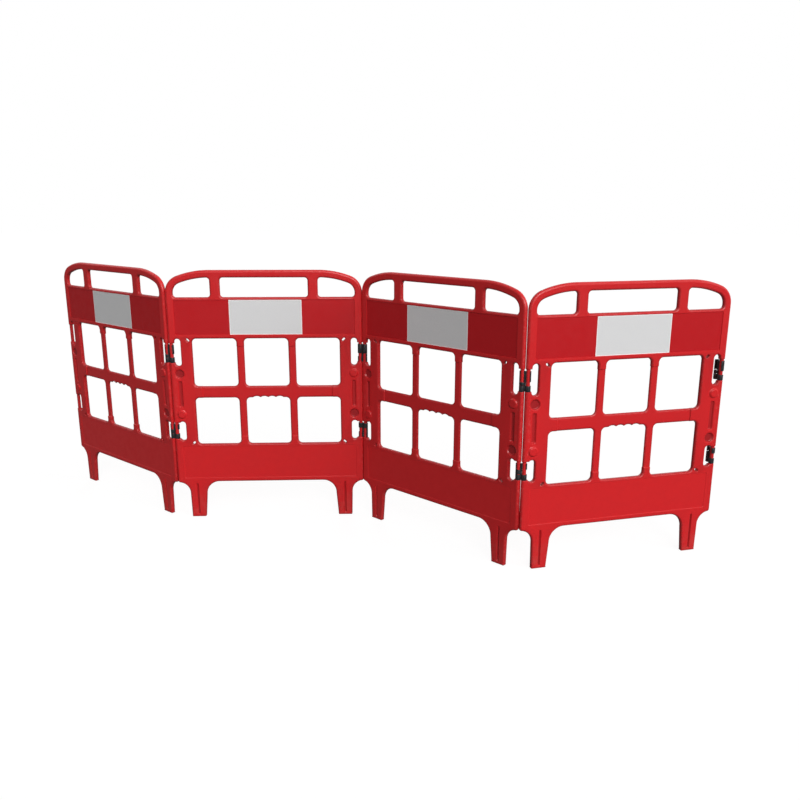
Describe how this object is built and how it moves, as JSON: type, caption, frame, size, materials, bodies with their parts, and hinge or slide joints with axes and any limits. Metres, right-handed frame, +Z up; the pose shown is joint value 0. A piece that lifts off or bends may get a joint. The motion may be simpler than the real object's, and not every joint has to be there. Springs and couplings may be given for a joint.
{
  "type": "folding road-work barrier",
  "caption": "Folding road-work barrier: red moulded gates with window grids, handle rails, reflective bands and short legs, joined edge to edge by black clip-on swivel hinges.",
  "frame": {"origin": "middle of the footprint, on the ground", "axes": "+X along the row of gates from the first to the last, -Y towards the side in the picture, +Z up"},
  "size_m": [2.6363, 0.9684, 1.0051],
  "materials": {
    "gate_plastic": "blow-moulded polyethylene, satin, faint grain",
    "white_sheet": "retroreflective sheeting, satin, fine cell pattern",
    "red_sheet": "retroreflective sheeting, satin, fine cell pattern",
    "clip_plastic": "injection-moulded nylon, satin"
  },
  "bodies": {
    "gate_1": {"gate_panel_1": "gate_plastic", "front_white_sheet_1": "white_sheet", "front_red_sheets_1": "red_sheet", "rear_white_sheet_1": "white_sheet", "rear_red_sheets_1": "red_sheet"},
    "gate_2": {"gate_panel_2": "gate_plastic", "front_white_sheet_2": "white_sheet", "front_red_sheets_2": "red_sheet", "rear_white_sheet_2": "white_sheet", "rear_red_sheets_2": "red_sheet"},
    "gate_3": {"gate_panel_3": "gate_plastic", "front_white_sheet_3": "white_sheet", "front_red_sheets_3": "red_sheet", "rear_white_sheet_3": "white_sheet", "rear_red_sheets_3": "red_sheet"},
    "gate_4": {"gate_panel_4": "gate_plastic", "front_white_sheet_4": "white_sheet", "front_red_sheets_4": "red_sheet", "rear_white_sheet_4": "white_sheet", "rear_red_sheets_4": "red_sheet"},
    "hinge_link_1": {"upper_hinge_clip_1": "clip_plastic", "lower_hinge_clip_1": "clip_plastic"},
    "hinge_link_2": {"upper_hinge_clip_2": "clip_plastic", "lower_hinge_clip_2": "clip_plastic"},
    "hinge_link_3": {"upper_hinge_clip_3": "clip_plastic", "lower_hinge_clip_3": "clip_plastic"},
    "upper_end_clip": {"upper_end_clip": "clip_plastic"},
    "lower_end_clip": {"lower_end_clip": "clip_plastic"}
  },
  "joints": [
    {"name": "hinge_1_left", "type": "hinge", "parent": "hinge_link_1", "child": "gate_1", "pos_m": [-0.74062, 0.00644, 0.525], "axis": [0, 0, -1], "range_deg": [-111, 69]},
    {"name": "hinge_1_right", "type": "hinge", "parent": "gate_2", "child": "hinge_link_1", "pos_m": [-0.72184, 0.00015, 0.525], "axis": [0, 0, -1], "range_deg": [-111, 69]},
    {"name": "hinge_2_left", "type": "hinge", "parent": "hinge_link_2", "child": "gate_2", "pos_m": [0.01346, 0.03226, 0.525], "axis": [0, 0, 1], "range_deg": [-112.4, 67.6]},
    {"name": "hinge_2_right", "type": "hinge", "parent": "hinge_link_2", "child": "gate_3", "pos_m": [0.03207, 0.02552, 0.525], "axis": [0, 0, -1], "range_deg": [-112.4, 67.6]},
    {"name": "hinge_3_left", "type": "hinge", "parent": "gate_3", "child": "hinge_link_3", "pos_m": [0.57644, -0.46982, 0.525], "axis": [0, 0, 1], "range_deg": [-118.35, 61.65]},
    {"name": "hinge_3_right", "type": "hinge", "parent": "hinge_link_3", "child": "gate_4", "pos_m": [0.59566, -0.47459, 0.525], "axis": [0, 0, 1], "range_deg": [-118.35, 61.65]},
    {"name": "upper_end_clip_turn", "type": "hinge", "parent": "gate_4", "child": "upper_end_clip", "pos_m": [1.30854, -0.29156, 0.681], "axis": [0, 0, 1], "range_deg": [-276, 84]},
    {"name": "lower_end_clip_turn", "type": "hinge", "parent": "gate_4", "child": "lower_end_clip", "pos_m": [1.30854, -0.29156, 0.3645], "axis": [0, 0, 1], "range_deg": [-264, 96]}
  ]
}
